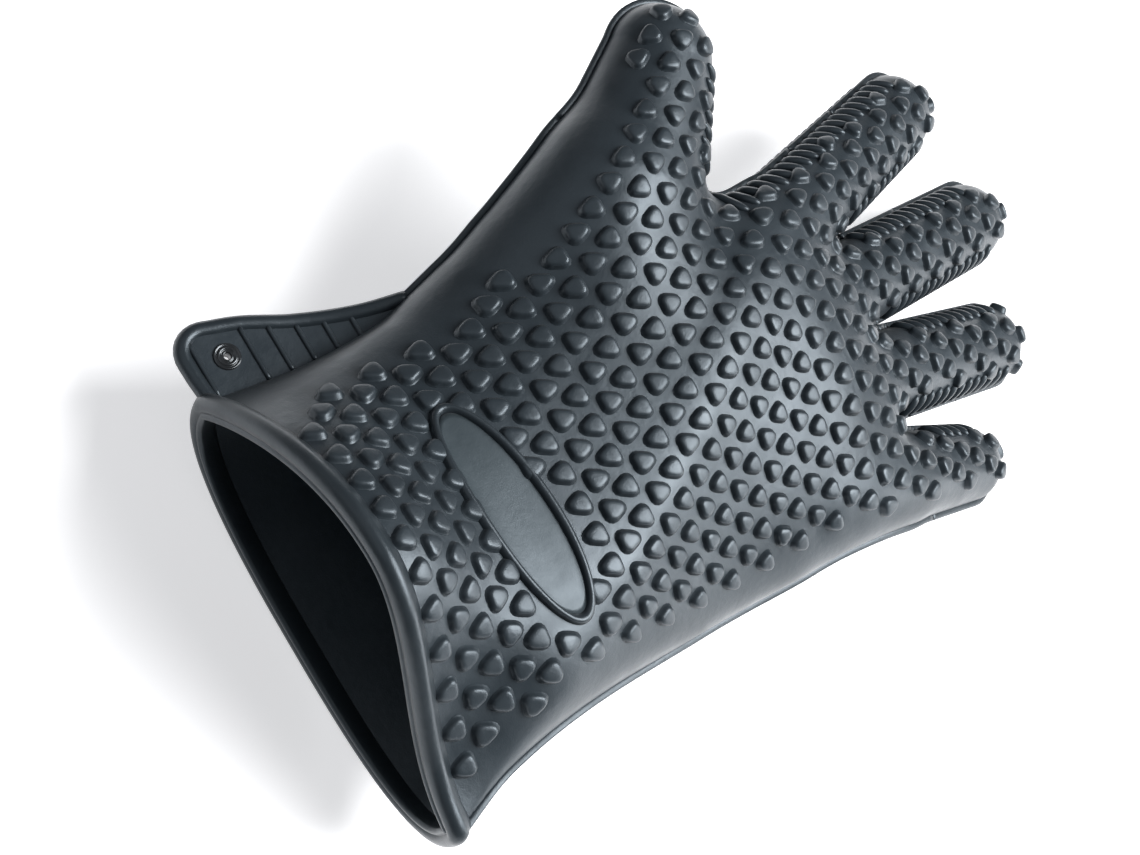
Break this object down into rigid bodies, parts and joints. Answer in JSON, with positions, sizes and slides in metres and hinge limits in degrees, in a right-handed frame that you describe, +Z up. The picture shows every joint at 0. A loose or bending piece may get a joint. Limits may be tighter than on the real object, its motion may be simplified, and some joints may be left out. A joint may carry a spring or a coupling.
{
  "type": "oven glove",
  "caption": "Moulded silicone oven glove with separate fingers that bend, a beaded open cuff, a ribbed hanging tab with an eyelet, and a plain oval badge plate on the back.",
  "frame": {"origin": "centre of the bounding box in plan, on the level surface the glove rests on, palm down", "axes": "+X from the cuff towards the fingertips, +Y across the hand towards the thumb, +Z up, out of the back of the hand"},
  "size_m": [0.2734, 0.1724, 0.0829],
  "materials": {
    "silicone": "satin",
    "silicone_edge": "satin, slightly polished",
    "silicone_smooth": "smooth satin",
    "gloss_silicone": "glossy"
  },
  "bodies": {
    "hand": {"back_shell": "silicone", "palm_shell": "silicone", "knuckle_back": "silicone", "knuckle_palm": "silicone", "thumb_root": "silicone", "index_root": "silicone", "middle_root": "silicone", "ring_root": "silicone", "little_root": "silicone", "cuff_bead": "silicone_edge", "fin_thumb_side": "silicone_edge", "fin_index_side": "silicone_edge", "fin_little_side": "silicone_edge", "tab_corner": "silicone", "tab_web": "silicone", "tab_bead": "silicone_edge", "tab_ribs": "silicone_edge", "hang_eyelet": "gloss_silicone", "badge_rim": "silicone_edge", "badge_plate": "silicone_smooth"},
    "thumb_end": {"thumb_sleeve": "silicone", "thumb_tip": "silicone"},
    "index_base": {"index_sleeve": "silicone", "index_middle": "silicone"},
    "index_end": {"index_tip_sleeve": "silicone", "index_tip": "silicone"},
    "middle_base": {"middle_sleeve": "silicone", "middle_middle": "silicone"},
    "middle_end": {"middle_tip_sleeve": "silicone", "middle_tip": "silicone"},
    "ring_base": {"ring_sleeve": "silicone", "ring_middle": "silicone"},
    "ring_end": {"ring_tip_sleeve": "silicone", "ring_tip": "silicone"},
    "little_end": {"little_sleeve": "silicone", "little_tip": "silicone"}
  },
  "joints": [
    {"name": "thumb_knuckle", "type": "hinge", "parent": "hand", "child": "thumb_end", "pos_m": [0.0119, 0.05808, 0.06377], "axis": [-0.7026, 0.6915, 0.1678], "range_deg": [-8, 30], "stiffness_Nm_per_rad": 1.2, "deforming": ["thumb_sleeve"]},
    {"name": "index_knuckle", "type": "hinge", "parent": "hand", "child": "index_base", "pos_m": [0.07052, 0.02478, 0.04256], "axis": [-0.1643, 0.9338, 0.3178], "range_deg": [-10, 45], "stiffness_Nm_per_rad": 1.2, "deforming": ["index_sleeve"]},
    {"name": "index_joint", "type": "hinge", "parent": "index_base", "child": "index_end", "pos_m": [0.09587, 0.03145, 0.03609], "axis": [-0.1643, 0.9338, 0.3178], "range_deg": [0, 50], "stiffness_Nm_per_rad": 0.9, "deforming": ["index_tip_sleeve"]},
    {"name": "middle_knuckle", "type": "hinge", "parent": "hand", "child": "middle_base", "pos_m": [0.0759, -0.00546, 0.03225], "axis": [0.0329, 0.9646, 0.2615], "range_deg": [-10, 45], "stiffness_Nm_per_rad": 1.2, "deforming": ["middle_sleeve"]},
    {"name": "middle_joint", "type": "hinge", "parent": "middle_base", "child": "middle_end", "pos_m": [0.10639, -0.0039, 0.02264], "axis": [0.0329, 0.9646, 0.2615], "range_deg": [0, 50], "stiffness_Nm_per_rad": 0.9, "deforming": ["middle_tip_sleeve"]},
    {"name": "ring_knuckle", "type": "hinge", "parent": "hand", "child": "ring_base", "pos_m": [0.07394, -0.03542, 0.02444], "axis": [0.1766, 0.9609, 0.2131], "range_deg": [-10, 45], "stiffness_Nm_per_rad": 1.2, "deforming": ["ring_sleeve"]},
    {"name": "ring_joint", "type": "hinge", "parent": "ring_base", "child": "ring_end", "pos_m": [0.09689, -0.03781, 0.0162], "axis": [0.1766, 0.9609, 0.2131], "range_deg": [0, 50], "stiffness_Nm_per_rad": 0.9, "deforming": ["ring_tip_sleeve"]},
    {"name": "little_knuckle", "type": "hinge", "parent": "hand", "child": "little_end", "pos_m": [0.06422, -0.06582, 0.01905], "axis": [0.2592, 0.9485, 0.1824], "range_deg": [-10, 45], "stiffness_Nm_per_rad": 1.2, "deforming": ["little_sleeve"]}
  ]
}
